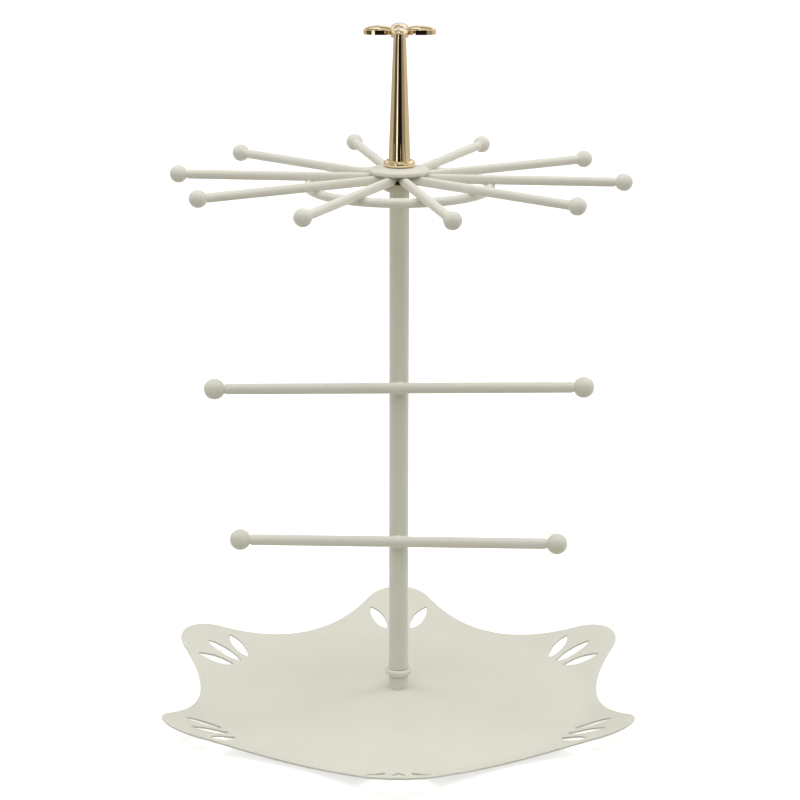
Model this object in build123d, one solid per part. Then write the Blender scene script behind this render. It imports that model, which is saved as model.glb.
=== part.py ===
"""Rotating jewellery stand: a lobed sheet tray, a turning pole with two cross bars and a crown of
ten ball-ended arms over an earring ring, and a gold finial that serves as the handle.

Millimetres, +Z up. The origin is on the surface that the stand rests on, on the pole's axis.
"""
import os

from build123d import *
from math import cos, pi, radians, sin, sqrt, tan

# Fits
snug = 0.02            # radial clearance of a part that is pressed or screwed in
running = 0.05         # radial clearance of the bushes on the spindle
end_play = 0.20        # axial gap between turning and standing parts
side_play = 0.30       # radial gap between turning and standing parts that don't guide
weld_sink = 0.30       # depth to which a welded rod is seated in what carries it
ring_sink = 0.70       # depth to which the earring ring is seated in the arms

# Tray
sheet = 1.2            # coated steel sheet
lobe_count = 6
tray_reach = 137.7     # axis to the tip of a lobe
valley_reach = 107.2   # axis to the hollow between two lobes
lobe_round = 21.2      # radius of a lobe's rounded tip
seat_radius = 12.0     # flat top of the raised centre
centre_rise = 5.0      # raised centre above the floor ring
floor_width = 19.0     # flat ring between the raised centre and the upturned lobes
floor_to_slots = 4.6   # outer edge of that ring to the lobes' slots
lobe_slope = 21.0      # degrees
lobe_bend = 30.0       # bend radius between floor ring and lobes
centre_slot_length = 22.4
side_slot_length = 19.8
slot_width = 6.8
slot_to_tip = 13.7     # solid sheet between the middle slot and the lobe's tip
side_slot_reach = 9.2  # start of the middle slot to the middle of a side slot, outwards
side_slot_offset = 11.5
side_slot_turn = 27.0  # degrees, each side slot from the radial direction

# Pads under the floor ring
pad_diameter = 10.0
pad_height = 1.3

# Foot and swivel
pole_diameter = 10.3
pole_wall = 0.95
foot_height = 7.9      # short tube welded to the tray
collar_diameter = 14.4
collar_height = 3.2
collar_round = 1.2
spindle_diameter = 6.0
spindle_tip_diameter = 4.0
spindle_tip_length = 1.6
retainer_thickness = 1.2
bush_length = 12.0
bush_spacing = 78.0    # lower end of one bush to lower end of the other
screw_diameter = 4.0
screw_length = 14.0    # below the head
screw_head_diameter = 8.0
screw_head_height = 2.4
screw_head_round = 0.8
screw_recess_diameter = 2.6
screw_recess_depth = 1.6
thread_runout = 1.0    # tapped depth beyond the end of a screw or stud
washer_diameter = 12.0
washer_thickness = 0.8

# Crown of arms, heights from the tray's seat
arm_height = 278.0     # axis of the arms
arm_count = 10
arm_reach = 114.0      # axis of the pole to the centre of an arm's ball
arm_turn = -5.4        # degrees, first arm from +X as the stand is photographed
rod_diameter = 4.9
arm_ball_diameter = 9.1
ring_radius = 46.5     # centre line of the earring ring
rod_spacing_gap = 0.25 # gap between the mitred inner ends of two arms
hub_diameter = 31.2
hub_rim = 2.65         # top of the disc's rim above its underside
hub_crown = 3.85       # disc thickness under the finial
hub_lift = 0.6         # rise of the disc's underside towards its rim
hub_lift_width = 3.2   # width of the rising part
hub_edge = 1.0
plug_diameter = 16.8
plug_flange = 4.4
plug_edge = 1.5
plug_spigot = 14.0     # length of plug inside the pole
boss_diameter = 9.0    # middle of the plug, between the arms

# Cross bars, heights from the tray's seat
upper_bar_height = 169.1
lower_bar_height = 85.2
upper_bar_half = 95.8  # middle of the bar to the centre of its ball
lower_bar_half = 83.6
upper_bar_turn = 1.5   # degrees about the pole
lower_bar_turn = -2.1  # degrees about the pole
bar_diameter = 5.8
bar_ball_diameter = 11.1
bar_weld_diameter = 6.9

# Ball ends
neck_share = 0.82      # neck diameter as a share of its rod's
neck_gap = 0.6         # bare neck between rod and ball
rod_chamfer = 0.42

# Finial
stud_diameter = 5.0
stud_in_plug = 12.0
stud_in_stem = 10.0
collar_ring_diameter = 16.2
collar_ring_height = 3.4
collar_ring_round = 1.66
stem_foot_diameter = 11.3
stem_top_diameter = 6.2
stem_height = 67.1     # hub disc to the underside of the flower
flower_reach = 18.2    # axis to the tip of a petal
petal_count = 4
petal_width = 9.0
petal_wall = 2.0       # upright edge of a petal, below its dome
petal_dome = 2.4
petal_inner = 2.4      # axis to the inner end of a petal, inside the flower's round centre
flower_centre_diameter = 8.4
flower_centre_height = 3.0
spigot_diameter = 3.0
spigot_length = 2.2

# Levels
floor_top = pad_height + sheet
seat = floor_top + centre_rise
collar_bottom = seat + foot_height
collar_top = collar_bottom + collar_height
pole_bottom = collar_top + end_play
arm_level = seat + arm_height
hub_bottom = arm_level + rod_diameter / 2 - weld_sink
hub_top = hub_bottom + hub_crown
flange_top = arm_level - rod_diameter / 2 + weld_sink
flange_bottom = flange_top - plug_flange
ring_level = arm_level - rod_diameter + ring_sink
upper_bush_bottom = pole_bottom + bush_spacing
shoulder = upper_bush_bottom + bush_length + end_play
stem_bottom = hub_top + collar_ring_height / 2
flower_bottom = hub_top + stem_height

# Diameters and radii that follow
slot_start = tray_reach - slot_to_tip - centre_slot_length
floor_outer = slot_start - floor_to_slots
floor_inner = floor_outer - floor_width
pad_circle = (floor_inner + floor_outer) / 2
pole_bore = pole_diameter - 2 * pole_wall
arm_start = boss_diameter / 2 - weld_sink
bar_offset = (pole_diameter + bar_diameter) / 2 - weld_sink


def save(solid, name):
    """Write one node."""
    solid.label = name
    export_step(solid, os.path.join("parts", name + ".step"))


def post(diameter, bottom, top, bore=0.0):
    """Upright cylinder on the axis, with a through bore where one is given."""
    body = Pos(0, 0, bottom) * Cylinder(
        diameter / 2, top - bottom, align=(Align.CENTER, Align.CENTER, Align.MIN)
    )
    if bore:
        body -= Pos(0, 0, bottom) * Cylinder(
            bore / 2, top - bottom, align=(Align.CENTER, Align.CENTER, Align.MIN)
        )
    return body


def turned(points):
    """Solid of revolution about Z from a closed outline of (radius, height) points."""
    outline = Polyline(*[(r, 0, z) for r, z in points], close=True)
    return revolve(make_face(outline), Axis.Z)


def lens(length, width):
    """Pointed oval, made of two equal arcs, along X."""
    half = length / 2
    edge_a = ThreePointArc((-half, 0), (0, width / 2), (half, 0))
    edge_b = ThreePointArc((half, 0), (0, -width / 2), (-half, 0))
    return make_face([edge_a, edge_b])


def tray_section():
    """Half section of the sheet: flat seat, S-shaped fall to the floor ring, upturned brim."""
    fall = floor_inner - seat_radius
    middle = (seat_radius + fall / 2, 0, seat - centre_rise / 2)
    turn = radians(lobe_slope)
    bend_end = (floor_outer + lobe_bend * sin(turn), 0, floor_top + lobe_bend * (1 - cos(turn)))
    outer = tray_reach + sheet
    rim = (outer, 0, bend_end[2] + (outer - bend_end[0]) * tan(turn))
    flat = Line((0, 0, seat), (seat_radius, 0, seat))
    crest = TangentArc((seat_radius, 0, seat), middle, tangent=(1, 0, 0))
    foot = TangentArc((floor_inner, 0, floor_top), middle, tangent=(-1, 0, 0))
    floor = Line((floor_inner, 0, floor_top), (floor_outer, 0, floor_top))
    bend = TangentArc((floor_outer, 0, floor_top), bend_end, tangent=(1, 0, 0))
    brim = Line(bend_end, rim)
    top = [flat, crest, foot, floor, bend, brim]
    under = [Pos(0, 0, -sheet) * edge for edge in top]
    ends = [
        Line((0, 0, seat), (0, 0, seat - sheet)),
        Line(rim, (rim[0], 0, rim[2] - sheet)),
    ]
    return make_face(top + under + ends)


def tray_outline():
    """Plan of the tray: rounded lobes joined by hollow arcs, tangent where they meet."""
    step = 2 * pi / lobe_count
    half = step / 2
    tip_centre = tray_reach - lobe_round
    # the hollow's radius is such that its circle touches the tip's circle from outside
    known = tip_centre**2 + valley_reach**2 - 2 * tip_centre * valley_reach * cos(half)
    hollow = (known - lobe_round**2) / (2 * (lobe_round + tip_centre * cos(half) - valley_reach))
    hollow_centre = valley_reach + hollow

    def at(radius, angle):
        return Vector(radius * cos(angle), radius * sin(angle), 0)

    share = lobe_round / (lobe_round + hollow)
    edges = []
    for lobe in range(lobe_count):
        middle = lobe * step + pi / 2
        tip = at(tip_centre, middle)
        after = tip + (at(hollow_centre, middle + half) - tip) * share
        before = tip + (at(hollow_centre, middle - half) - tip) * share
        next_tip = at(tip_centre, middle + step)
        meets_next = next_tip + (at(hollow_centre, middle + half) - next_tip) * share
        edges.append(ThreePointArc(before, at(tray_reach, middle), after))
        edges.append(ThreePointArc(after, at(valley_reach, middle + half), meets_next))
    return make_face(edges)


def lobe_place(lobe):
    """Turn from +X to the middle of a lobe; the first lobe points along +Y."""
    return Rot(0, 0, 90 + lobe * 360 / lobe_count)


def make_tray():
    """Lobed dish of sheet with three fanned slots in each lobe and the screw's hole."""
    brim_top = floor_top + tray_reach * tan(radians(lobe_slope)) + sheet
    plan = extrude(tray_outline(), brim_top)
    dish = revolve(tray_section(), Axis.Z) & plan
    middle_place = Pos(slot_start + centre_slot_length / 2, 0)
    slots = []
    for lobe in range(lobe_count):
        turn = lobe_place(lobe)
        slots.append(turn * middle_place * lens(centre_slot_length, slot_width))
        for side in (-1, 1):
            side_place = Pos(slot_start + side_slot_reach, side * side_slot_offset)
            fanned = side_place * Rot(0, 0, side * side_slot_turn)
            slots.append(turn * fanned * lens(side_slot_length, slot_width))
    for slot in slots:
        dish -= extrude(slot, brim_top)
    return dish - post(screw_diameter + 2 * side_play, 0, seat + sheet)


def make_pads():
    """One soft pad under the root of each lobe."""
    disc = Cylinder(pad_diameter / 2, pad_height, align=(Align.CENTER, Align.CENTER, Align.MIN))
    pads = [lobe_place(lobe) * Pos(pad_circle, 0) * disc for lobe in range(lobe_count)]
    return Compound(children=pads)


def make_screw():
    """Pan head screw from below, through washer and tray into the spindle."""
    head_top = seat - sheet - washer_thickness
    head_bottom = head_top - screw_head_height
    head = post(screw_head_diameter, head_bottom, head_top)
    head = fillet(head.edges().filter_by(GeomType.CIRCLE).sort_by(Axis.Z)[0], screw_head_round)
    shank = post(screw_diameter, head_top, head_top + screw_length)
    return head + shank - post(screw_recess_diameter, head_bottom, head_bottom + screw_recess_depth)


def make_spindle():
    """Steel pin that the pole turns on, tapped below, with a reduced tip for its retainer."""
    pin = post(spindle_diameter, seat, shoulder)
    tip = post(spindle_tip_diameter, shoulder, shoulder + spindle_tip_length)
    thread_top = seat - sheet - washer_thickness + screw_length + thread_runout
    return pin + tip - post(screw_diameter + 2 * snug, seat, thread_top)


def make_washer():
    """Washer under the tray's raised centre."""
    top = seat - sheet
    return post(washer_diameter, top - washer_thickness, top, screw_diameter + 2 * side_play)


def make_collar():
    """Flanged sleeve in the foot tube; the pole's end turns on the flange."""
    flange = post(collar_diameter, collar_bottom, collar_top)
    flange = fillet(flange.edges().filter_by(GeomType.CIRCLE), collar_round)
    sleeve = post(pole_bore - 2 * snug, seat, collar_bottom)
    return flange + sleeve - post(spindle_diameter + 2 * snug, seat, collar_top)


def make_bush(bottom):
    """Plain bush, pressed into the pole and running on the spindle."""
    return post(pole_bore - 2 * snug, bottom, bottom + bush_length, spindle_diameter + 2 * running)


def make_retainer():
    """Ring on the spindle's tip, which keeps the pole from lifting off."""
    outer = pole_bore - 2 * side_play
    return post(outer, shoulder, shoulder + retainer_thickness, spindle_tip_diameter + 2 * snug)


def make_plug():
    """Turned plug: spigot in the pole, flange under the arms, boss up to the hub disc."""
    flange = post(plug_diameter, flange_bottom, flange_top)
    flange = fillet(flange.edges().filter_by(GeomType.CIRCLE).sort_by(Axis.Z)[0], plug_edge)
    spigot = post(pole_bore - 2 * snug, flange_bottom - plug_spigot, flange_bottom)
    boss = post(boss_diameter, flange_top, hub_bottom)
    whole = flange + spigot + boss
    return whole - post(stud_diameter + 2 * snug, flange_bottom - plug_spigot, hub_bottom)


def make_hub():
    """Crowned disc that the arms are welded under."""
    rim = hub_diameter / 2
    seat_edge = collar_ring_diameter / 2
    hole = stud_diameter / 2 + snug
    disc = turned(
        [
            (hole, hub_bottom),
            (rim - hub_lift_width, hub_bottom),
            (rim, hub_bottom + hub_lift),
            (rim, hub_bottom + hub_rim),
            (seat_edge, hub_top),
            (hole, hub_top),
        ]
    )
    outer = disc.edges().filter_by(GeomType.CIRCLE).sort_by(SortBy.RADIUS)[-2:]
    return fillet(outer, hub_edge)


def rod_end(rod, ball, centre):
    """Chamfered end, bare neck and spigot of a rod whose ball is centred at X = centre."""
    ball_face = centre - sqrt((ball / 2) ** 2 - (rod * neck_share / 2) ** 2)
    rod_stop = ball_face - neck_gap
    neck = Pos(rod_stop, 0, 0) * Rot(0, 90, 0) * Cylinder(
        rod * neck_share / 2, centre - rod_stop, align=(Align.CENTER, Align.CENTER, Align.MIN)
    )
    return rod_stop, neck


def make_ball(rod, ball):
    """Ball with the socket for its rod's neck, centred at the origin, socket towards -X."""
    socket = Rot(0, -90, 0) * Cylinder(
        rod * neck_share / 2 + snug, ball, align=(Align.CENTER, Align.CENTER, Align.MIN)
    )
    return Sphere(ball / 2) - socket


def make_rod(diameter, ball, start, centre):
    """Rod along X from start to its ball at centre; the far end is chamfered and necked."""
    stop, neck = rod_end(diameter, ball, centre)
    rod = Pos(start, 0, 0) * Rot(0, 90, 0) * Cylinder(
        diameter / 2, stop - start, align=(Align.CENTER, Align.CENTER, Align.MIN)
    )
    rod = chamfer(rod.edges().filter_by(GeomType.CIRCLE).sort_by(Axis.X)[-1], rod_chamfer)
    return rod + neck


def make_arm():
    """Arm along X, mitred towards its neighbours where all the arms meet on the boss."""
    arm = make_rod(rod_diameter, arm_ball_diameter, arm_start, arm_reach)
    for side in (-1, 1):
        inner = Align.MIN if side > 0 else Align.MAX
        spare = Box(arm_reach, 2 * rod_diameter, 2 * rod_diameter, align=(Align.MIN, inner, Align.CENTER))
        arm -= Rot(0, 0, side * 180 / arm_count) * Pos(0, -side * rod_spacing_gap / 2, 0) * spare
    return arm


def make_bar(half):
    """Cross bar along X with both ends necked, and the weld that fills it to the pole."""
    right = make_rod(bar_diameter, bar_ball_diameter, 0.0, half)
    bar = right + Rot(0, 0, 180) * right
    weld = Rot(-90, 0, 0) * Cylinder(
        bar_weld_diameter / 2, bar_offset, align=(Align.CENTER, Align.CENTER, Align.MIN)
    )
    return Pos(0, -bar_offset, 0) * (bar + weld)


def make_petal():
    """Oval plate along X with an upright edge, flat below and domed above."""
    long_half = (flower_reach - petal_inner) / 2
    plate = extrude(Ellipse(long_half, petal_width / 2), petal_wall)
    dome = scale(Sphere(1.0), by=(long_half, petal_width / 2, petal_dome))
    keep = Box(2 * long_half, petal_width, petal_dome, align=(Align.CENTER, Align.CENTER, Align.MIN))
    petal = plate + Pos(0, 0, petal_wall) * (dome & keep)
    return Pos(flower_reach - long_half, 0, 0) * petal


def make_flower():
    """Four domed petals on a round centre, with the socket for the stem's spigot."""
    flower = Cylinder(
        flower_centre_diameter / 2, flower_centre_height, align=(Align.CENTER, Align.CENTER, Align.MIN)
    )
    petal = make_petal()
    for number in range(petal_count):
        flower += Rot(0, 0, number * 360 / petal_count) * petal
    flower = Pos(0, 0, flower_bottom) * flower
    return flower - post(spigot_diameter + 2 * snug, flower_bottom, flower_bottom + spigot_length)


def make_stem():
    """Tapered stem through the collar ring, tapped below, with a spigot for the flower."""
    stem = turned(
        [
            (0, hub_top),
            (stem_foot_diameter / 2, hub_top),
            (stem_foot_diameter / 2, stem_bottom),
            (stem_top_diameter / 2, flower_bottom),
            (0, flower_bottom),
        ]
    )
    spigot = post(spigot_diameter, flower_bottom, flower_bottom + spigot_length)
    return stem + spigot - post(stud_diameter + 2 * snug, hub_top, hub_top + stud_in_stem + thread_runout)


def make_collar_ring():
    """Fully rounded ring round the foot of the stem."""
    ring = post(collar_ring_diameter, hub_top, hub_top + collar_ring_height)
    ring = fillet(ring.edges().filter_by(GeomType.CIRCLE), collar_ring_round)
    return ring - post(stem_foot_diameter + 2 * snug, hub_top, hub_top + collar_ring_height)


def main():
    """Build every node and write it."""
    os.makedirs("parts", exist_ok=True)

    # what stands still
    save(make_tray(), "tray")
    save(make_pads(), "foot_pads")
    save(make_screw(), "base_screw")
    save(make_washer(), "base_washer")
    save(post(pole_diameter, seat, collar_bottom, pole_bore), "foot_tube")
    save(make_collar(), "swivel_collar")
    save(make_spindle(), "spindle")
    save(make_retainer(), "spindle_retainer")

    # what turns
    save(post(pole_diameter, pole_bottom, flange_bottom, pole_bore), "pole_tube")
    save(make_bush(pole_bottom), "lower_bush")
    save(make_bush(upper_bush_bottom), "upper_bush")
    plug = make_plug()
    save(plug, "top_plug")
    hub = make_hub()
    save(hub, "hub_disc")

    straight_arm = make_arm()
    arm_ball = Pos(arm_reach, 0, 0) * make_ball(rod_diameter, arm_ball_diameter)
    ring = Pos(0, 0, ring_level) * Torus(ring_radius, rod_diameter / 2)
    for number in range(arm_count):
        place = Pos(0, 0, arm_level) * Rot(0, 0, arm_turn + number * 360 / arm_count)
        save(place * straight_arm - hub - plug - ring, f"arm_{number + 1:02d}")
        save(place * arm_ball, f"arm_ball_{number + 1:02d}")
    save(ring, "earring_ring")

    pole_space = post(pole_diameter, pole_bottom, flange_bottom)
    bar_ball = make_ball(bar_diameter, bar_ball_diameter)
    bars = (
        ("upper", upper_bar_height, upper_bar_half, upper_bar_turn),
        ("lower", lower_bar_height, lower_bar_half, lower_bar_turn),
    )
    for name, height, half, turn in bars:
        place = Pos(0, 0, seat + height) * Rot(0, 0, turn)
        save(place * make_bar(half) - pole_space, f"{name}_bar")
        save(place * Pos(half, -bar_offset, 0) * bar_ball, f"{name}_bar_ball_right")
        save(place * Pos(-half, -bar_offset, 0) * Rot(0, 0, 180) * bar_ball, f"{name}_bar_ball_left")

    # finial
    save(post(stud_diameter, hub_bottom - stud_in_plug, hub_top + stud_in_stem), "finial_stud")
    save(make_collar_ring(), "finial_ring")
    save(make_stem(), "finial_stem")
    save(make_flower(), "finial_flower")


main()
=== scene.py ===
"""Looks of the turning jewellery stand: coated tray, pole, cross bars and arms, and a gold finial.

Metres, +Z up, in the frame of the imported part. The stand rests on z = 0 with the pole on the Z axis.
"""
from math import asin, atan2, cos, pi, radians, sin, sqrt, tan

import bpy
import numpy as np
from mathutils import Matrix, Vector
from mathutils.geometry import delaunay_2d_cdt


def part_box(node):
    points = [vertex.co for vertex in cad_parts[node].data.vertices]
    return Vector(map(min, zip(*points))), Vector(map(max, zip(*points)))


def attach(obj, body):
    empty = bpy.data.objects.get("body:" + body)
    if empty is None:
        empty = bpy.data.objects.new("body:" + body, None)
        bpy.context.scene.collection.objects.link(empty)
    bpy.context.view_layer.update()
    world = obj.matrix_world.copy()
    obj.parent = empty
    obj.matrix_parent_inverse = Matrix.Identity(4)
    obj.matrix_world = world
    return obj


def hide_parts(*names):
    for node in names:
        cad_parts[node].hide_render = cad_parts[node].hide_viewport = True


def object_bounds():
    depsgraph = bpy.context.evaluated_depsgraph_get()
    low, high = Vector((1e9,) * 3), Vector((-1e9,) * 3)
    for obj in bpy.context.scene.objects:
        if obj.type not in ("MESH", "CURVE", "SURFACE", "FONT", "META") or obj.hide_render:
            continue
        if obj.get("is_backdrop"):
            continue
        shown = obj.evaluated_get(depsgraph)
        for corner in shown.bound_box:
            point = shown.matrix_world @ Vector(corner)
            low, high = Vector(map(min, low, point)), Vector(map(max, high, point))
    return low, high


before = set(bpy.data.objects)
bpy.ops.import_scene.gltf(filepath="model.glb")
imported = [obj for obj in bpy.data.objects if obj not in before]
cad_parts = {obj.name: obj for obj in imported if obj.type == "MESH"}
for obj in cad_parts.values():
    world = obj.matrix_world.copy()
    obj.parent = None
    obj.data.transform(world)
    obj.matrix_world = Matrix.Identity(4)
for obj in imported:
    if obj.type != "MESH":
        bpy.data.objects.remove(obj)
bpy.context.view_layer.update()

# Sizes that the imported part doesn't give

# sheet tray
sheet = 0.0012           # coated sheet
edge_round = 0.00040     # rounding of the coated edges
lobe_count = 6
lobe_round = 0.0212      # radius of a lobe's tip
valley_reach = 0.1072    # axis to the hollow between two lobes
seat_radius = 0.0120     # flat top of the raised centre
floor_inner = 0.0780     # raised centre ends, floor ring begins
floor_outer = 0.0970     # floor ring ends, lobes begin to turn up
lobe_slope = radians(21.0)
lobe_bend = 0.0300
slot_width = 0.0068
centre_slot_length = 0.0224
side_slot_length = 0.0198
slot_start = 0.1016
side_slot_reach = 0.1108
side_slot_offset = 0.0115
side_slot_turn = radians(27.0)
slot_tip_round = 0.0003
screw_hole = 0.0023      # radius
sheet_mesh = 0.0026      # spacing of the sheet's inner points
mesh_margin = 0.45       # least distance of those points from an edge, in spacings
pad_circle = 0.0875
pad_edge = 0.0005

# rods and balls
arm_count = 10
arm_turn = radians(-5.4)
arm_reach = 0.1140       # axis to the centre of an arm's ball
upper_bar_turn = radians(1.5)
lower_bar_turn = radians(-2.1)
upper_bar_half = 0.0958
lower_bar_half = 0.0836
bar_offset = 0.00775     # axis of the pole to the axis of a bar
bar_radius = 0.0029
mitre_gap = 0.000125     # half the gap between the inner ends of two arms
neck_share = 0.82        # neck to rod
neck_gap = 0.0006
rod_round = 0.0006       # rounding of a rod's coated end
neck_flare = 0.0006      # coat gathered where the neck meets the ball
flare_start = 0.0002     # the flare starts this far outside the ball
flare_depth = 0.0006     # and its skin closes this far further in
ring_radius = 0.0465     # centre line of the earring ring
ring_weld = (0.0021, 0.0021, 0.0011)    # half sizes
bar_weld = (0.0030, 0.0022, 0.0027)

# turned pieces
pole_round = 0.0003
bore = 0.0025            # radius of the stud's bore
spindle = 0.0030         # radius
tube_bore = 0.0042       # radius
collar_round = 0.0015
flange_round = 0.0015    # lower edge of the flange
flange_edge = 0.0003     # rounding of its upper edge
boss = 0.0045            # radius
core_radius = 0.0104     # painted shade between the arms, out to here
core_fade = 0.0012
core_bottom = 0.28335    # level of the flange's upper face
core_top = 0.2850
hub_rim = 0.00265        # top of the disc's rim above its underside
hub_lift = 0.0006        # rise of the disc's underside towards its rim
hub_lift_width = 0.0032  # width of the rising part
hub_bend = 0.0040        # rounding where the underside begins to rise
hub_edge = 0.0010        # rounding of the rim
hub_crown = 0.0120       # rounding of the top where the finial ring sits

# finial
stem_foot = 0.00565      # radius
stem_top = 0.0031        # radius
stem_spigot = 0.0015     # radius
stud_depth = 0.0110      # depth of the stud's bore in the stem
axis_gap = 0.0003        # radius of the thin bore that a solid turned piece keeps
ring_fullness = 0.98     # rounding of the finial ring, as a share of half its height
petal_count = 4
petal_inner = 0.0024     # axis to the inner end of a petal
petal_half_width = 0.0045
petal_wall = 0.0020
petal_dome = 0.0024
petal_edge = 0.00025
flower_centre = 0.0042   # radius
flower_centre_height = 0.0030
flower_centre_edge = 0.0002
flower_centre_round = 0.0012

# camera that the photograph was taken with
camera_distance = 1.2375
camera_height = 0.50925
camera_pitch = 0.269     # radians below the horizontal
camera_roll = 0.002
focal_pixels = 2457.0
picture_pixels = 800
picture_middle = 399.0   # column of the principal point

# floor and reflector cards
floor_radius = 6.0
lift_start = 0.15        # the floor's own glow grows from here outwards
lift_end = 0.75
card_distance = 0.9      # from the middle of the finial
card_level = 0.33        # level of that middle
card_tint = (1.0, 0.92, 0.8)


# Meshes


def add_piece(name, points, faces, body, slot, finish, nodes, sharp_angle=radians(40)):
    """Mesh from an array of points and a list of faces, turned outwards, with its body and finish, and
    the CAD nodes that it stands for; the slot argument is not used."""
    points = np.asarray(points, float)
    corners = [np.asarray(group) for group in faces if len(group)]
    volume = 0.0
    for group in corners:
        for k in range(1, group.shape[1] - 1):
            a, b, c = points[group[:, 0]], points[group[:, k]], points[group[:, k + 1]]
            volume += np.einsum("ij,ij->", a, np.cross(b, c))
    if volume < 0:
        corners = [group[:, ::-1] for group in corners]
    mesh = bpy.data.meshes.new(name)
    mesh.from_pydata(points.tolist(), [], [face for group in corners for face in group.tolist()])
    mesh.shade_smooth()
    mesh.set_sharp_from_angle(angle=sharp_angle)
    mesh.materials.append(finish)
    piece = bpy.data.objects.new(name, mesh)
    bpy.context.scene.collection.objects.link(piece)
    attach(piece, body)
    if nodes:
        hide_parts(*nodes)
    return piece


def skin(rings, closed=False):
    """Quads between neighbouring rings of a rings x columns x 3 array; open ends get a pole each."""
    rows, columns = rings.shape[:2]
    index = np.arange(rows * columns).reshape(rows, columns)
    upper = np.roll(index, -1, axis=0) if closed else index[1:]
    lower = index if closed else index[:-1]
    quads = np.stack([lower, np.roll(lower, -1, 1), np.roll(upper, -1, 1), upper], -1).reshape(-1, 4)
    points = rings.reshape(-1, 3)
    if closed:
        return points, [quads]
    first, last = index[0], index[-1]
    points = np.vstack([points, rings[0].mean(0), rings[-1].mean(0)])
    pole = np.full(columns, rows * columns)
    caps = np.vstack(
        [
            np.stack([pole, np.roll(first, -1), first], -1),
            np.stack([pole + 1, last, np.roll(last, -1)], -1),
        ]
    )
    return points, [quads, caps]


def join(parts):
    """One set of points and faces from several, as (points, faces) pairs."""
    points, groups, start = [], {}, 0
    for part_points, part_faces in parts:
        points.append(part_points)
        for group in part_faces:
            groups.setdefault(group.shape[1], []).append(group + start)
        start += len(part_points)
    return np.vstack(points), [np.vstack(same) for same in groups.values()]


def rounded(corners, closed=False, steps=6):
    """Outline through (radius, height, rounding) corners; each arc touches the two sides it joins."""
    outline = []
    places = [np.array(corner[:2], float) for corner in corners]
    for number, corner in enumerate(corners):
        place, rounding = places[number], corner[2] if len(corner) > 2 else 0.0
        inner = closed or 0 < number < len(corners) - 1
        if not (rounding and inner):
            outline.append(place[None])
            continue
        back = places[number - 1] - place
        ahead = places[(number + 1) % len(corners)] - place
        back, ahead = back / np.linalg.norm(back), ahead / np.linalg.norm(ahead)
        half = np.arccos(np.clip(back @ ahead, -1, 1)) / 2
        bisector = (back + ahead) / np.linalg.norm(back + ahead)
        centre = place + bisector * rounding / sin(half)
        start = place + back * rounding / tan(half) - centre
        end = place + ahead * rounding / tan(half) - centre
        share, sweep = np.linspace(0, 1, steps + 1)[:, None], pi - 2 * half
        arc = (start * np.sin((1 - share) * sweep) + end * np.sin(share * sweep)) / sin(sweep)
        outline.append(centre + arc)
    return np.vstack(outline)


def placed(points, place):
    """Points carried by a placement."""
    return points @ place[:3, :3].T + place[:3, 3]


def turned(outline, columns=96, stretch=(1.0, 1.0), place=None, closed=False):
    """Surface of revolution: (r cos u, r sin u, z) for each (r, z) of the outline, stretched across
    X and Y, then placed."""
    u = np.arange(columns) * 2 * pi / columns
    radius, height = outline[:, :1], outline[:, 1:]
    rings = np.stack(
        [radius * np.cos(u) * stretch[0], radius * np.sin(u) * stretch[1], height + 0 * u], -1
    )
    points, faces = skin(rings, closed)
    if place is not None:
        points = placed(points, place)
    return points, faces


def along(direction, origin):
    """Placement whose Z runs along a level direction from an origin, with X up."""
    ahead = np.array([cos(direction), sin(direction), 0.0])
    up = np.array([0.0, 0.0, 1.0])
    place = np.eye(4)
    place[:3, :3] = np.stack([up, np.cross(ahead, up), ahead], -1)
    place[:3, 3] = origin
    return place


def extents(node):
    """Radius across X, bottom and top of a CAD node."""
    low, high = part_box(node)
    return (high.x - low.x) / 2, low.z, high.z


# Finishes


def new_finish(name):
    """Material with its nodes, links, main shader and the piece's own coordinates."""
    material = bpy.data.materials.new(name)
    material.use_nodes = True
    tree = material.node_tree
    shader = tree.nodes["Principled BSDF"]
    place = tree.nodes.new("ShaderNodeTexCoord").outputs["Object"]
    return material, tree, shader, place


def grain(tree, place, scale, detail=2.0, stretch=None):
    """Noise of a given fineness, in waves per metre, drawn out along an axis where stretch says so."""
    if stretch:
        mapping = tree.nodes.new("ShaderNodeMapping")
        mapping.inputs["Scale"].default_value = stretch
        tree.links.new(place, mapping.inputs["Vector"])
        place = mapping.outputs["Vector"]
    texture = tree.nodes.new("ShaderNodeTexNoise")
    texture.inputs["Scale"].default_value = scale
    texture.inputs["Detail"].default_value = detail
    tree.links.new(place, texture.inputs["Vector"])
    return texture.outputs["Fac"]


def spread(tree, value, low, high):
    """Noise carried to a range of values."""
    node = tree.nodes.new("ShaderNodeMapRange")
    node.inputs["From Min"].default_value = 0.3
    node.inputs["From Max"].default_value = 0.7
    node.inputs["To Min"].default_value = low
    node.inputs["To Max"].default_value = high
    tree.links.new(value, node.inputs["Value"])
    return node.outputs["Result"]


def tones(tree, value, first, second):
    """Colour that wanders between two tones with a noise."""
    node = tree.nodes.new("ShaderNodeMix")
    node.data_type = "RGBA"
    node.inputs["A"].default_value = (*first, 1)
    node.inputs["B"].default_value = (*second, 1)
    tree.links.new(spread(tree, value, 0.0, 1.0), node.inputs["Factor"])
    return node.outputs["Result"]


def relief(tree, shader, layers):
    """Stack of bumps, each from (height, strength, depth in metres)."""
    normal = None
    for height, strength, depth in layers:
        bump = tree.nodes.new("ShaderNodeBump")
        bump.inputs["Strength"].default_value = strength
        bump.inputs["Distance"].default_value = depth
        tree.links.new(height, bump.inputs["Height"])
        if normal is not None:
            tree.links.new(normal, bump.inputs["Normal"])
        normal = bump.outputs["Normal"]
    tree.links.new(normal, shader.inputs["Normal"])


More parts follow.
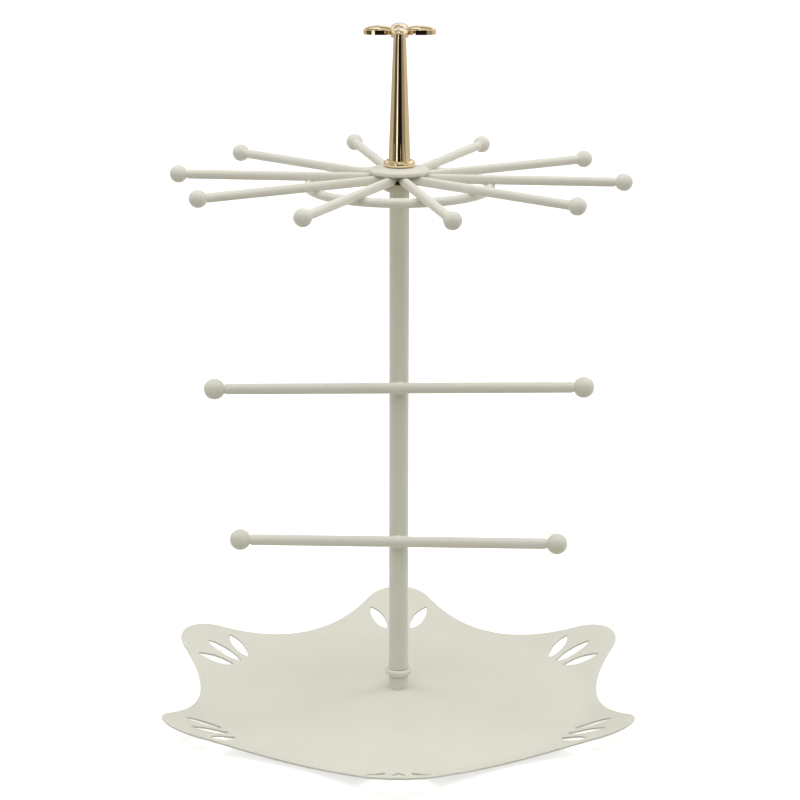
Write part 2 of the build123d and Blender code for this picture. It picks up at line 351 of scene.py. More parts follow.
def painted_crevice_shade(tree, place, colour):
    """Colour that gives way to near black close to the axis of the pole, in the lower half of the gaps
    between the arms: painted shade where the crevice lies in shadow."""
    parts = tree.nodes.new("ShaderNodeSeparateXYZ")
    tree.links.new(place, parts.inputs[0])
    flat = tree.nodes.new("ShaderNodeCombineXYZ")
    tree.links.new(parts.outputs["X"], flat.inputs["X"])
    tree.links.new(parts.outputs["Y"], flat.inputs["Y"])
    distance = tree.nodes.new("ShaderNodeVectorMath")
    distance.operation = "LENGTH"
    tree.links.new(flat.outputs[0], distance.inputs[0])
    share = None
    for value, start, end in (
        (distance.outputs["Value"], core_radius + core_fade, core_radius),
        (parts.outputs["Z"], core_bottom - 0.00005, core_bottom),
        (parts.outputs["Z"], core_top + core_fade / 2, core_top),
    ):
        mask = tree.nodes.new("ShaderNodeMapRange")
        mask.inputs["From Min"].default_value = start
        mask.inputs["From Max"].default_value = end
        tree.links.new(value, mask.inputs["Value"])
        if share is None:
            share = mask.outputs["Result"]
            continue
        both = tree.nodes.new("ShaderNodeMath")
        both.operation = "MULTIPLY"
        tree.links.new(share, both.inputs[0])
        tree.links.new(mask.outputs["Result"], both.inputs[1])
        share = both.outputs[0]
    mix = tree.nodes.new("ShaderNodeMix")
    mix.data_type = "RGBA"
    mix.inputs["B"].default_value = (0.05, 0.045, 0.03, 1)
    tree.links.new(colour, mix.inputs["A"])
    tree.links.new(share, mix.inputs["Factor"])
    return mix.outputs["Result"]


def coat_finish(name, first, second, waviness, core=False):
    """Satin powder coat: two near creams, fine orange peel and, on the sheet, slow waves."""
    material, tree, shader, place = new_finish(name)
    colour = tones(tree, grain(tree, place, 22, 3), first, second)
    # painted shade: near black close to the pole's axis, between the arms
    if core:
        colour = painted_crevice_shade(tree, place, colour)
    tree.links.new(colour, shader.inputs["Base Color"])
    tree.links.new(spread(tree, grain(tree, place, 260, 2), 0.40, 0.50), shader.inputs["Roughness"])
    shader.inputs["Specular IOR Level"].default_value = 0.45
    waves, peel = grain(tree, place, 28, 1), grain(tree, place, 900, 2)
    tooth = grain(tree, place, 3600, 1)
    relief(tree, shader, [(waves, waviness, 0.0010), (peel, 0.16, 0.00012), (tooth, 0.08, 0.00004)])
    return material


def gold_finish(name):
    """Polished pale gold plate: mirror bright, with faint haze and the slightest ripple."""
    material, tree, shader, place = new_finish(name)
    tree.links.new(
        tones(tree, grain(tree, place, 120, 2), (0.955, 0.80, 0.535), (0.94, 0.78, 0.51)),
        shader.inputs["Base Color"],
    )
    tree.links.new(spread(tree, grain(tree, place, 500, 3), 0.03, 0.07), shader.inputs["Roughness"])
    shader.inputs["Metallic"].default_value = 1.0
    relief(tree, shader, [(grain(tree, place, 90, 1), 0.03, 0.0003)])
    return material


def zinc_finish(name):
    """Zinc plated steel: cloudy grey with a drawn, brushed grain."""
    material, tree, shader, place = new_finish(name)
    tree.links.new(
        tones(tree, grain(tree, place, 300, 3), (0.60, 0.61, 0.63), (0.50, 0.52, 0.54)),
        shader.inputs["Base Color"],
    )
    brushed = grain(tree, place, 1500, 3, (1, 1, 0.08))
    tree.links.new(spread(tree, brushed, 0.25, 0.42), shader.inputs["Roughness"])
    shader.inputs["Metallic"].default_value = 1.0
    relief(tree, shader, [(brushed, 0.15, 0.00004)])
    return material


def plastic_finish(name, first, second, gloss):
    """Moulded plastic with a faint mottle and a fine skin."""
    material, tree, shader, place = new_finish(name)
    tree.links.new(tones(tree, grain(tree, place, 150, 2), first, second), shader.inputs["Base Color"])
    tree.links.new(
        spread(tree, grain(tree, place, 700, 2), gloss, gloss + 0.1), shader.inputs["Roughness"]
    )
    relief(tree, shader, [(grain(tree, place, 1800, 2), 0.10, 0.00005)])
    return material


# rod_coat is for pole, foot, disc and bar balls; arm_coat, a little whiter, for arms, arm balls, ring and
# bars, is painted light; the flange's coat, a little browner and darker, is painted shade under the arms
tray_coat = coat_finish("tray_coat", (0.800, 0.805, 0.735), (0.775, 0.780, 0.705), 0.10)
rod_coat = coat_finish("rod_coat", (0.810, 0.812, 0.735), (0.785, 0.788, 0.710), 0.03)
# a whiter copy of the same coat: painted light on the arms, ring and bars
arm_coat = coat_finish("arm_coat", (0.830, 0.822, 0.765), (0.805, 0.797, 0.740), 0.03, core=True)
# a browner, darker copy of the same coat: painted shade on the flange under the arms
flange_painted_shade_coat = coat_finish("flange_painted_shade_coat", (0.665, 0.630, 0.500), (0.640, 0.605, 0.475), 0.03, core=True)
pale_gold = gold_finish("pale_gold_plate")
zinc = zinc_finish("zinc_plate")
collar_plastic = plastic_finish("collar_plastic", (0.795, 0.79, 0.71), (0.77, 0.765, 0.68), 0.35)
bush_plastic = plastic_finish("bush_nylon", (0.70, 0.70, 0.66), (0.64, 0.64, 0.60), 0.40)
pad_silicone = plastic_finish("pad_silicone", (0.62, 0.62, 0.60), (0.56, 0.56, 0.54), 0.45)


# Tray


def sheet_height(radius):
    """Top of the sheet: seat, two arcs that fall to the floor ring, bend, straight slope."""
    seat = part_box("foot_tube")[0].z
    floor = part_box("foot_pads")[1].z + sheet
    half_run, half_fall = (floor_inner - seat_radius) / 2, (seat - floor) / 2
    arc = (half_run**2 + half_fall**2) / (2 * half_fall)
    bend_run = lobe_bend * sin(lobe_slope)

    def drop(distance, arc_radius):
        clipped = np.clip(distance, 0, None)
        return arc_radius - np.sqrt(np.clip(arc_radius**2 - clipped**2, 0, None))

    crest = seat - drop(np.minimum(radius - seat_radius, half_run), arc)
    foot = floor + drop(np.minimum(floor_inner - radius, half_run), arc)
    bend = floor + drop(np.minimum(radius - floor_outer, bend_run), lobe_bend)
    slope = np.clip(radius - floor_outer - bend_run, 0, None) * tan(lobe_slope)
    inner = np.where(radius < seat_radius + half_run, crest, foot)
    return np.where(radius < floor_inner, inner, bend + slope)


def arc_points(centre, radius, bend, first, last, count):
    """Rows of centre x, centre y, radius, bend and angle, one per point of an arc, its end left out."""
    angle = np.linspace(first, last, count, endpoint=False)
    same = np.ones(count)
    return np.column_stack([centre[0] * same, centre[1] * same, radius * same, bend * same, angle])


def grown(loop, outset):
    """Points of a loop of arcs moved out by outset: centre + (radius + bend x outset) x direction."""
    radius = loop[:, 2] + loop[:, 3] * outset
    return loop[:, :2] + radius[:, None] * np.column_stack([np.cos(loop[:, 4]), np.sin(loop[:, 4])])


def tray_outline():
    """Plan of the tray as arcs: round tips joined by hollow arcs that touch them."""
    tray_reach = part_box("tray")[1].y
    step = 2 * pi / lobe_count
    half = step / 2
    tip_centre = tray_reach - lobe_round
    known = tip_centre**2 + valley_reach**2 - 2 * tip_centre * valley_reach * cos(half)
    hollow = (known - lobe_round**2) / (2 * (lobe_round + tip_centre * cos(half) - valley_reach))
    hollow_centre = valley_reach + hollow
    # direction from a tip's centre to the next hollow's centre, seen from the lobe's middle line
    lean = atan2(hollow_centre * sin(half), hollow_centre * cos(half) - tip_centre)
    arcs = []
    for lobe in range(lobe_count):
        middle = pi / 2 + lobe * step
        tip = (tip_centre * cos(middle), tip_centre * sin(middle))
        valley = (hollow_centre * cos(middle + half), hollow_centre * sin(middle + half))
        arcs.append(arc_points(tip, lobe_round, 1, middle - lean, middle + lean, 48))
        start, end = middle + lean - pi, middle + step - lean + pi
        arcs.append(arc_points(valley, hollow, -1, start, end - 2 * pi, 40))
    return np.vstack(arcs)


def slot_outline(length, width, x, y, turn):
    """Pointed oval of two equal arcs with slightly round points, placed and turned in its lobe."""
    half_length, half_width = length / 2 - slot_tip_round, width / 2 - slot_tip_round
    radius = (half_length**2 + half_width**2) / (2 * half_width)
    swing = asin(half_length / radius)
    rise = radius - half_width
    quarter = pi / 2
    loop = np.vstack(
        [
            arc_points((half_length, 0), 0, 1, swing - quarter, quarter - swing, 5),
            arc_points((0, -rise), radius, 1, quarter - swing, quarter + swing, 26),
            arc_points((-half_length, 0), 0, 1, quarter + swing, 3 * quarter - swing, 5),
            arc_points((0, rise), radius, 1, 3 * quarter - swing, 3 * quarter + swing, 26),
        ]
    )
    turn_x = loop[:, 0] * cos(turn) - loop[:, 1] * sin(turn) + x
    turn_y = loop[:, 0] * sin(turn) + loop[:, 1] * cos(turn) + y
    return np.column_stack([turn_x, turn_y, loop[:, 2:4], loop[:, 4] + turn])


def lobe_turned(loop, angle):
    """Loop turned about the axis of the pole."""
    x = loop[:, 0] * cos(angle) - loop[:, 1] * sin(angle)
    y = loop[:, 0] * sin(angle) + loop[:, 1] * cos(angle)
    return np.column_stack([x, y, loop[:, 2:4], loop[:, 4] + angle])


def inside(points, loop):
    """Whether points lie inside a closed loop of points, by counting edges crossed along +X."""
    ahead = np.roll(loop, -1, 0)
    x, y = points[:, :1], points[:, 1:]
    spans = (loop[:, 1] > y) != (ahead[:, 1] > y)
    rise = np.where(ahead[:, 1] == loop[:, 1], 1e-12, ahead[:, 1] - loop[:, 1])
    crossing = loop[:, 0] + (y - loop[:, 1]) / rise * (ahead[:, 0] - loop[:, 0])
    return (spans & (x < crossing)).sum(1) % 2 == 1


def tray_piece():
    """Sheet with rounded edges: a flat net of triangles between the loops, lifted to the height of
    the sheet, doubled for its underside, and closed along each loop by a half-round strip."""
    slots = []
    for lobe in range(lobe_count):
        angle = pi / 2 + lobe * 2 * pi / lobe_count
        middle = slot_outline(centre_slot_length, slot_width, slot_start + centre_slot_length / 2, 0, 0)
        slots.append(lobe_turned(middle, angle))
        for side in (-1, 1):
            offset, turn = side * side_slot_offset, side * side_slot_turn
            fanned = slot_outline(side_slot_length, slot_width, side_slot_reach, offset, turn)
            slots.append(lobe_turned(fanned, angle))
    hole = arc_points((0, 0), screw_hole, 1, 0, 2 * pi, 32)
    # each loop with the outset of its finished edge and the side on which the metal lies
    edges = [(tray_outline(), 0.0, -1), *((slot, slot_tip_round, 1) for slot in slots), (hole, 0.0, 1)]
    loops = [grown(loop, finished + side * edge_round) for loop, finished, side in edges]

    reach = np.abs(loops[0]).max() + sheet_mesh
    across = np.arange(-reach, reach, sheet_mesh)
    rows = np.arange(-reach, reach, sheet_mesh * sqrt(3) / 2)
    net_x, net_y = np.meshgrid(across, rows)
    net_x = net_x + (np.arange(len(rows)) % 2)[:, None] * sheet_mesh / 2
    net = np.column_stack([net_x.ravel(), net_y.ravel()])
    net = net[inside(net, loops[0])]
    border = np.vstack(loops)
    clearance = np.concatenate(
        [
            np.sqrt(((chunk[:, None] - border[None]) ** 2).sum(-1).min(1))
            for chunk in np.array_split(net, 12)
        ]
    )
    net = net[clearance > mesh_margin * sheet_mesh]
    for loop in loops[1:]:
        net = net[~inside(net, loop)]

    flat = np.vstack([border, net])
    starts = np.cumsum([0] + [len(loop) for loop in loops])
    ties = [
        np.column_stack([np.arange(a, b), np.roll(np.arange(a, b), -1)])
        for a, b in zip(starts[:-1], starts[1:])
    ]
    found = delaunay_2d_cdt([Vector(p) for p in flat.tolist()], np.vstack(ties).tolist(), [], 0, 1e-7)
    flat = np.array([tuple(p) for p in found[0]])
    net_faces = np.array([face for face in found[2] if len(face) == 3])
    middle = flat[net_faces].mean(1)
    keep = inside(middle, loops[0])
    for loop in loops[1:]:
        keep &= ~inside(middle, loop)
    net_faces = net_faces[keep]

    height = sheet_height(np.hypot(flat[:, 0], flat[:, 1]))
    count = len(flat)
    points = [np.column_stack([flat, height]), np.column_stack([flat, height - sheet])]
    triangles = [net_faces, net_faces[:, ::-1] + count]
    quads = []
    total = 2 * count
    angle = np.linspace(0, pi / 2, 5)
    out = np.concatenate([edge_round * np.sin(angle[1:]), edge_round * np.cos(angle[:-1])])
    down = np.concatenate(
        [edge_round * (1 - np.cos(angle[1:])), sheet - edge_round * (1 - np.sin(angle[:-1]))]
    )
    for (loop, finished, side), start, end in zip(edges, starts[:-1], starts[1:]):
        size = end - start
        strip = []
        for step_out, step_down in zip(out, down):
            ring = grown(loop, finished + side * (edge_round - step_out))
            strip.append(np.column_stack([ring, sheet_height(np.hypot(*ring.T)) - step_down]))
        points.extend(strip)
        index = np.arange(size)
        between = [total + k * size + index for k in range(len(strip))]
        rings = [start + index, *between, count + start + index]
        total += size * len(strip)
        for upper, lower in zip(rings[:-1], rings[1:]):
            face = np.column_stack([upper, lower, np.roll(lower, -1), np.roll(upper, -1)])
            quads.append(face if side < 0 else face[:, ::-1])
    faces = [np.vstack(triangles), np.vstack(quads)]
    return add_piece(
        "tray_sheet", np.vstack(points), faces, "base", "cream_coat", tray_coat, ["tray"], radians(60)
    )


def pads_piece():
    """Six silicone pads: low turned discs with a rounded lower edge."""
    low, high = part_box("foot_pads")
    radius = high.y - pad_circle
    outline = rounded([(0, 0), (radius, 0, pad_edge), (radius, high.z, pad_edge / 2), (0, high.z)])
    pads = []
    for lobe in range(lobe_count):
        angle = pi / 2 + lobe * 2 * pi / lobe_count
        place = np.eye(4)
        place[:2, 3] = pad_circle * cos(angle), pad_circle * sin(angle)
        pads.append(turned(outline, 40, place=place))
    add_piece("silicone_pads", *join(pads), "base", "pad_rubber", pad_silicone, ["foot_pads"])


tray_piece()
pads_piece()


# Foot, pole and hub


def turned_piece(name, corners, body, slot, finish, node, columns=96):
    """Turned piece from a closed outline of (radius, height, rounding) corners round its bore."""
    outline = rounded(corners, closed=True)
    return add_piece(name, *turned(outline, columns, closed=True), body, slot, finish, [node])


foot_radius, foot_bottom, foot_top = extents("foot_tube")
turned_piece(
    "foot_tube_coated",
    [
        (tube_bore, foot_bottom),
        (foot_radius, foot_bottom),
        (foot_radius, foot_top, pole_round),
        (tube_bore, foot_top),
    ],
    "base", "cream_coat", rod_coat, "foot_tube",
)

collar_radius, sleeve_bottom, collar_top = extents("swivel_collar")
turned_piece(
    "swivel_collar_moulded",
    [
        (spindle, sleeve_bottom),
        (tube_bore, sleeve_bottom),
        (tube_bore, foot_top),
        (collar_radius, foot_top, collar_round),
        (collar_radius, collar_top, collar_round),
        (spindle, collar_top),
    ],
    "base", "cream_plastic", collar_plastic, "swivel_collar",
)

pole_radius, pole_bottom, pole_top = extents("pole_tube")
turned_piece(
    "pole_coated",
    [
        (tube_bore, pole_bottom),
        (pole_radius, pole_bottom, pole_round),
        (pole_radius, pole_top),
        (tube_bore, pole_top),
    ],
    "column", "cream_coat", rod_coat, "pole_tube",
)

hub_radius, hub_bottom, hub_top = extents("hub_disc")
plug_radius, plug_bottom, boss_top = extents("top_plug")
arm_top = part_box("arm_01")[1].z
arm_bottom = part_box("arm_01")[0].z
weld_sink = arm_top - hub_bottom
flange_top = arm_bottom + weld_sink
turned_piece(
    "arm_flange",
    [
        (bore, plug_bottom),
        (tube_bore, plug_bottom),
        (tube_bore, pole_top),
        (plug_radius, pole_top, flange_round),
        (plug_radius, flange_top, flange_edge),
        (boss, flange_top),
        (boss, boss_top),
        (bore, boss_top),
    ],
    "column", "cream_coat", flange_painted_shade_coat, "top_plug",
)

ring_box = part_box("finial_ring")
finial_ring_radius = (ring_box[1].x - ring_box[0].x) / 2
turned_piece(
    "hub_coated",
    [
        (bore, hub_bottom),
        (hub_radius - hub_lift_width, hub_bottom, hub_bend),
        (hub_radius, hub_bottom + hub_lift, hub_edge),
        (hub_radius, hub_bottom + hub_rim, hub_edge),
        (finial_ring_radius, hub_top, hub_crown),
        (bore, hub_top),
    ],
    "column", "cream_coat", rod_coat, "hub_disc",
)


# Arms, ring and bars


def rod_outline(radius, start, centre, ball):
    """Half section of a rod from start to its ball: straight, rounded end, bare neck into the ball."""
    neck = radius * neck_share
    face = centre - sqrt(ball**2 - neck**2)
    stop = face - neck_gap
    return rounded(
        [
            (0, start),
            (radius / 3, start),
            (2 * radius / 3, start),
            (radius, start),
            (radius, stop, rod_round),
            (neck, stop + 0.0001, 0.0001),
            (neck, centre),
            (0, centre),
        ]
    )


def mitred(points):
    """Rod along Z cut by two planes towards its neighbours: z is at least
    (|y| + gap / cos(half step)) / tan(half step)."""
    half_step = pi / arm_count
    least = (np.abs(points[:, 1]) + mitre_gap / cos(half_step)) / tan(half_step)
    return np.column_stack([points[:, :2], np.maximum(points[:, 2], least)])


def ball_outline(radius, ball):
    """Half section of a ball about its centre, with a flare of coat where the neck enters."""
    neck = radius * neck_share
    lean = asin(neck / ball)
    flare = asin((neck + neck_flare) / ball)
    turn = np.linspace(flare, pi, 44)
    sphere = np.column_stack([ball * np.sin(turn), -ball * np.cos(turn)])
    sphere[-1, 0] = 0.0
    entry = -ball * cos(lean) - flare_start
    closed = entry + flare_depth
    start = np.array([[0.0, closed], [neck - 0.00005, closed], [neck, entry]])
    middle = (start[-1:] + sphere[:1]) / 2 + np.array([[-0.0001, 0.0001]])
    return np.vstack([start, middle, sphere])


ball_radius = (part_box("arm_ball_01")[1].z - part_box("arm_ball_01")[0].z) / 2
rod_radius = (arm_top - arm_bottom) / 2
arm_level = (arm_top + arm_bottom) / 2
straight_arm, arm_faces = turned(rod_outline(rod_radius, boss, arm_reach, ball_radius), 40)
straight_arm = mitred(straight_arm)
ball_section = ball_outline(rod_radius, ball_radius)
for number in range(arm_count):
    direction = arm_turn + number * 2 * pi / arm_count
    label = f"{number + 1:02d}"
    rod = placed(straight_arm, along(direction, (0, 0, arm_level)))
    add_piece(f"arm_rod_{label}", rod, arm_faces, "column", "cream_coat", arm_coat, [f"arm_{label}"])
    centre = (arm_reach * cos(direction), arm_reach * sin(direction), arm_level)
    ball = turned(ball_section, 56, place=along(direction, centre))
    add_piece(f"arm_end_ball_{label}", *ball, "column", "cream_coat", arm_coat, [f"arm_ball_{label}"])

ring_low, ring_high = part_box("earring_ring")
ring_level = (ring_low.z + ring_high.z) / 2
ring_wire = (ring_high.z - ring_low.z) / 2
round_wire = np.linspace(0, 2 * pi, 32, endpoint=False)
wire_outline = np.column_stack(
    [ring_radius + ring_wire * np.cos(round_wire), ring_level + ring_wire * np.sin(round_wire)]
)
add_piece(
    "earring_ring_coated", *turned(wire_outline, 240, closed=True),
    "column", "cream_coat", arm_coat, ["earring_ring"],
)

bars = (("upper", upper_bar_turn, upper_bar_half), ("lower", lower_bar_turn, lower_bar_half))
for label, turn, half in bars:
    end_low, end_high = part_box(f"{label}_bar_ball_right")
    level = (end_low.z + end_high.z) / 2
    end_ball = (end_high.z - end_low.z) / 2
    middle = np.array([bar_offset * sin(turn), -bar_offset * cos(turn), level])
    halves = []
    for side, direction in (("right", turn), ("left", turn + pi)):
        section = rod_outline(bar_radius, 0.0, half, end_ball)
        halves.append(turned(section, 48, place=along(direction, middle)))
        centre = middle + half * np.array([cos(direction), sin(direction), 0])
        ball = turned(ball_outline(bar_radius, end_ball), 64, place=along(direction, centre))
        node = f"{label}_bar_ball_{side}"
        add_piece(f"{label}_bar_end_{side}", *ball, "column", "cream_coat", rod_coat, [node])
    add_piece(f"{label}_bar_rod", *join(halves), "column", "cream_coat", arm_coat, [f"{label}_bar"])


def weld_pad(centre, half_sizes, direction, fullness=0.8):
    """Rounded pad: signed powers of the sine and cosine of two angles, scaled by three half sizes."""

    def power(value):
        return np.sign(value) * np.abs(value) ** fullness

    rise = np.linspace(-pi / 2, pi / 2, 17)[1:-1, None]
    round_angle = np.linspace(0, 2 * pi, 28, endpoint=False)
    rings = np.stack(
        [
            half_sizes[0] * power(np.cos(rise)) * power(np.cos(round_angle)),
            half_sizes[1] * power(np.cos(rise)) * power(np.sin(round_angle)),
            half_sizes[2] * power(np.sin(rise)) + 0 * round_angle,
        ],
        -1,
    )
    points, faces = skin(rings)
    across, ahead = cos(direction), sin(direction)
    turn = np.array([[across, -ahead, 0], [ahead, across, 0], [0, 0, 1]])
    return points @ turn.T + centre, faces


pads = []
for number in range(arm_count):
    direction = arm_turn + number * 2 * pi / arm_count
    level = (arm_bottom + ring_high.z) / 2
    centre = np.array([ring_radius * cos(direction), ring_radius * sin(direction), level])
    pads.append(weld_pad(centre, ring_weld, direction))
add_piece("ring_welds", *join(pads), "column", "cream_coat", arm_coat, [])

pads = []
for label, turn, half in bars:
    end_low, end_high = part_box(f"{label}_bar_ball_right")
    centre = np.array([pole_radius * sin(turn), -pole_radius * cos(turn), (end_low.z + end_high.z) / 2])
    pads.append(weld_pad(centre, bar_weld, turn, 0.9))
add_piece("bar_welds", *join(pads), "column", "cream_coat", rod_coat, [])


# Finial

finial_ring_top = ring_box[1].z
finial_ring_wall = (finial_ring_top - hub_top) / 2 * ring_fullness
turned_piece(
    "finial_ring_gold",
    [
        (stem_foot, hub_top),
        (finial_ring_radius, hub_top, finial_ring_wall),
        (finial_ring_radius, finial_ring_top, finial_ring_wall),
        (stem_foot, finial_ring_top),
    ],
    "column", "pale_gold", pale_gold, "finial_ring", 128,
)

flower_low, flower_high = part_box("finial_flower")
stem_middle = hub_top + (finial_ring_top - hub_top) / 2
spigot_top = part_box("finial_stem")[1].z
turned_piece(
    "finial_stem_gold",
    [
        (bore, hub_top),
        (stem_foot, hub_top),
        (stem_foot, stem_middle),
        (stem_top, flower_low.z),
        (stem_spigot, flower_low.z),
        (stem_spigot, spigot_top),
        (axis_gap, spigot_top),
        (axis_gap, hub_top + stud_depth),
        (bore, hub_top + stud_depth),
    ],
    "column", "pale_gold", pale_gold, "finial_stem", 128,
)

petal_reach = (flower_high.x - flower_low.x) / 2
petal_half_length = (petal_reach - petal_inner) / 2
dome = np.linspace(0, pi / 2, 22)[1:-1]
petal_outline = np.vstack(
    [
        rounded([(0, 0), (1.0, 0, petal_edge), (1.0, petal_wall)]),
        np.column_stack([np.cos(dome), petal_wall + petal_dome * np.sin(dome)]),
        [[0, petal_wall + petal_dome]],
    ]
)
centre_outline = rounded(
    [
        (0, 0),
        (flower_centre, 0, flower_centre_edge),
        (flower_centre, flower_centre_height, flower_centre_round),
        (0, flower_centre_height),
    ]
)
petals = []
for number in range(petal_count):
    angle = number * 2 * pi / petal_count
    place = np.eye(4)
    place[:2, :2] = [[cos(angle), -sin(angle)], [sin(angle), cos(angle)]]
    outward = petal_reach - petal_half_length
    place[:3, 3] = outward * cos(angle), outward * sin(angle), flower_low.z
    petals.append(turned(petal_outline, 96, (petal_half_length, petal_half_width), place))
place = np.eye(4)
place[2, 3] = flower_low.z
petals.append(turned(centre_outline, 64, place=place))
add_piece("finial_flower_gold", *join(petals), "column", "pale_gold", pale_gold, ["finial_flower"])

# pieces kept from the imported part, inside the pole and under the tray
kept = {
    "base_screw": zinc,
    "base_washer": zinc,
    "spindle": zinc,
    "spindle_retainer": zinc,
    "finial_stud": zinc,
    "lower_bush": bush_plastic,
    "upper_bush": bush_plastic,
}
for node, finish in kept.items():
    for material_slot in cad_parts[node].material_slots:
        material_slot.material = finish


# Camera

camera_data = bpy.data.cameras.new("camera")
camera_data.sensor_width = 36.0
camera_data.lens = focal_pixels * 36.0 / picture_pixels
camera_data.shift_x = (picture_pixels / 2 - picture_middle) / picture_pixels
camera_data.clip_start = 0.05
camera = bpy.data.objects.new("camera", camera_data)
bpy.context.scene.collection.objects.link(camera)
camera.matrix_world = (
    Matrix.Translation((0, -camera_distance, camera_height))
    @ Matrix.Rotation(pi / 2 - camera_pitch, 4, "X")
    @ Matrix.Rotation(camera_roll, 4, "Z")
)
bpy.context.scene.camera = camera


# Floor, lamps and reflector cards


def seen_directly(tree):
    """1 for rays that show a surface straight, in a mirror or through glass, and 0 for the rest."""
    path = tree.nodes.new("ShaderNodeLightPath")
    either = tree.nodes.new("ShaderNodeMath")
    either.operation = "MAXIMUM"
    tree.links.new(path.outputs["Is Camera Ray"], either.inputs[0])
    tree.links.new(path.outputs["Is Glossy Ray"], either.inputs[1])
    any_ray = tree.nodes.new("ShaderNodeMath")
    any_ray.operation = "MAXIMUM"
    tree.links.new(either.outputs[0], any_ray.inputs[0])
    tree.links.new(path.outputs["Is Transmission Ray"], any_ray.inputs[1])
    return any_ray.outputs[0]


def light_world(ambient):
    """White where it is seen, a dimmer warm glow where it only lights."""
    world = bpy.data.worlds.new("studio")
    bpy.context.scene.world = world
    world.use_nodes = True
    tree = world.node_tree
    tree.nodes.clear()
    output = tree.nodes.new("ShaderNodeOutputWorld")
    mix = tree.nodes.new("ShaderNodeMixShader")
    glow = tree.nodes.new("ShaderNodeBackground")
    glow.inputs["Color"].default_value = (*ambient, 1)
    white = tree.nodes.new("ShaderNodeBackground")
    white.inputs["Color"].default_value = (1, 1, 1, 1)
    tree.links.new(seen_directly(tree), mix.inputs["Fac"])
    tree.links.new(glow.outputs[0], mix.inputs[1])
    tree.links.new(white.outputs[0], mix.inputs[2])
    tree.links.new(mix.outputs[0], output.inputs["Surface"])


def lay_floor(colour, bounce_colour, near_lift, far_lift):
    """Round white floor that takes the shadow, lifted to full white with distance from the stand;
    light that it throws back is toned down."""
    angle = np.linspace(0, 2 * pi, 96, endpoint=False)
    edge = floor_radius * np.column_stack([np.cos(angle), np.sin(angle), 0 * angle])
    mesh = bpy.data.meshes.new("floor")
    mesh.from_pydata(edge.tolist(), [], [list(range(len(edge)))])
    floor = bpy.data.objects.new("floor", mesh)
    bpy.context.scene.collection.objects.link(floor)
    material = bpy.data.materials.new("floor_white")
    material.use_nodes = True
    tree = material.node_tree
    tree.nodes.clear()
    output = tree.nodes.new("ShaderNodeOutputMaterial")
    shown = tree.nodes.new("ShaderNodeBsdfDiffuse")
    shown.inputs["Color"].default_value = (*colour, 1)
    glow = tree.nodes.new("ShaderNodeEmission")
    distance = tree.nodes.new("ShaderNodeVectorMath")
    distance.operation = "LENGTH"
    tree.links.new(tree.nodes.new("ShaderNodeTexCoord").outputs["Object"], distance.inputs[0])
    lift = tree.nodes.new("ShaderNodeMapRange")
    lift.interpolation_type = "SMOOTHSTEP"
    lift.inputs["From Min"].default_value = lift_start
    lift.inputs["From Max"].default_value = lift_end
    lift.inputs["To Min"].default_value = near_lift
    lift.inputs["To Max"].default_value = far_lift
    tree.links.new(distance.outputs["Value"], lift.inputs["Value"])
    tree.links.new(lift.outputs["Result"], glow.inputs["Strength"])
    both = tree.nodes.new("ShaderNodeAddShader")
    bounce = tree.nodes.new("ShaderNodeBsdfDiffuse")
    bounce.inputs["Color"].default_value = (*bounce_colour, 1)
    mix = tree.nodes.new("ShaderNodeMixShader")
    tree.links.new(shown.outputs[0], both.inputs[0])
    tree.links.new(glow.outputs[0], both.inputs[1])
    tree.links.new(seen_directly(tree), mix.inputs["Fac"])
    tree.links.new(bounce.outputs[0], mix.inputs[1])
    tree.links.new(both.outputs[0], mix.inputs[2])
    tree.links.new(mix.outputs[0], output.inputs["Surface"])
    mesh.materials.append(material)
    floor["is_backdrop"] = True


def hang_lamp(name, place, aim, size, power, colour):
    """Rectangular soft lamp that faces a point."""
    data = bpy.data.lights.new(name, "AREA")
    data.shape = "RECTANGLE"
    data.size, data.size_y = size
    data.energy = power
    data.color = colour
    lamp = bpy.data.objects.new(name, data)
    bpy.context.scene.collection.objects.link(lamp)
    lamp.location = place
    lamp.rotation_euler = (Vector(aim) - Vector(place)).to_track_quat("-Z", "Y").to_euler()
    lamp.visible_glossy = False


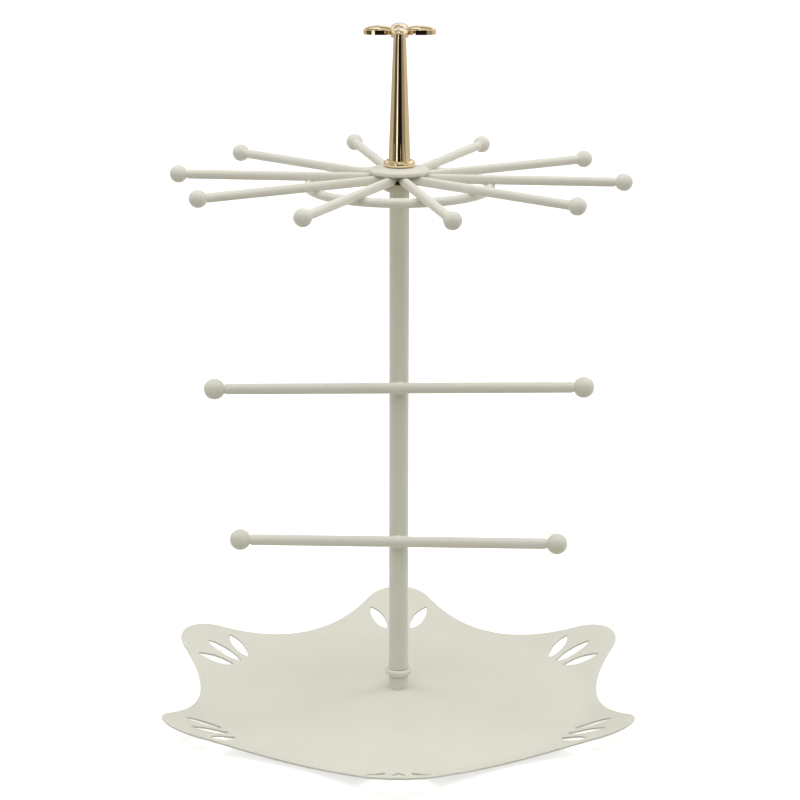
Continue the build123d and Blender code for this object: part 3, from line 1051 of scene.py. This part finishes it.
def hang_card(name, first, last, low, high, colour):
    """Card seen only in mirror-bright metal: the patch of a sphere round the finial between two
    directions, in degrees from the front, and two heights, in degrees above level."""
    turn = radians(-90) + np.radians(np.linspace(first, last, 16))
    rise = np.radians(np.linspace(low, high, 9))[:, None]
    x, y = np.cos(rise) * np.cos(turn), np.cos(rise) * np.sin(turn)
    ball = np.stack([x, y, np.sin(rise) + 0 * turn], -1)
    points = card_distance * ball.reshape(-1, 3) + [0, 0, card_level]
    index = np.arange(len(points)).reshape(9, 16)
    corners = [index[:-1, :-1], index[:-1, 1:], index[1:, 1:], index[1:, :-1]]
    faces = np.stack(corners, -1).reshape(-1, 4)
    mesh = bpy.data.meshes.new(name)
    mesh.from_pydata(points.tolist(), [], faces.tolist())
    card = bpy.data.objects.new(name, mesh)
    bpy.context.scene.collection.objects.link(card)
    material = bpy.data.materials.new(name)
    material.use_nodes = True
    tree = material.node_tree
    tree.nodes.clear()
    output = tree.nodes.new("ShaderNodeOutputMaterial")
    tint = tree.nodes.new("ShaderNodeEmission")
    tint.inputs["Color"].default_value = (*colour, 1)
    tree.links.new(tint.outputs[0], output.inputs["Surface"])
    mesh.materials.append(material)
    card.visible_camera = False
    card.visible_diffuse = False
    card.visible_shadow = False
    card.visible_transmission = False
    card.visible_volume_scatter = False
    card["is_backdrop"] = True


light_world((0.10, 0.10, 0.094))
lay_floor((0.80, 0.80, 0.80), (0.53, 0.52, 0.45), 0.70, 1.0)
hang_lamp("top_lamp", (0, -0.8, 1.9), (0, -0.8, 0), (3.4, 3.4), 58.0, (1.0, 0.980, 0.935))
hang_lamp("right_lamp", (1.25, 0.45, 0.55), (0, 0, 0.2), (0.7, 1.0), 4.4, (1.0, 0.995, 0.97))
hang_lamp("left_lamp", (-1.25, 0.45, 0.55), (0, 0, 0.2), (0.7, 1.0), 3.2, (1.0, 0.995, 0.97))

# plain cards of one warm grey that the gold mirrors: first and last direction, lower and upper
# height, shade
cards = (
    ("left_card", -180, -75, -20, 15, 0.5),
    ("left_dark_card", -75, -35, -20, 15, 0.08),
    ("front_black_card", -20, 30, -20, 25, 0.01),
    ("right_grey_card", 30, 70, -20, 15, 0.3),
    ("right_pale_card", 70, 180, -20, 15, 0.6),
    ("left_back_canopy_card", -180, -100, 30, 60, 0.5),
    ("left_front_canopy_card", -100, -5, 30, 70, 0.3),
    ("right_front_canopy_card", 5, 100, 30, 70, 0.6),
    ("right_back_canopy_card", 100, 180, 50, 85, 0.3),
)
for name, first, last, low, high, shade in cards:
    hang_card(name, first, last, low, high, [shade * part for part in card_tint])

bpy.context.scene.view_settings.view_transform = "Standard"

low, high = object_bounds()
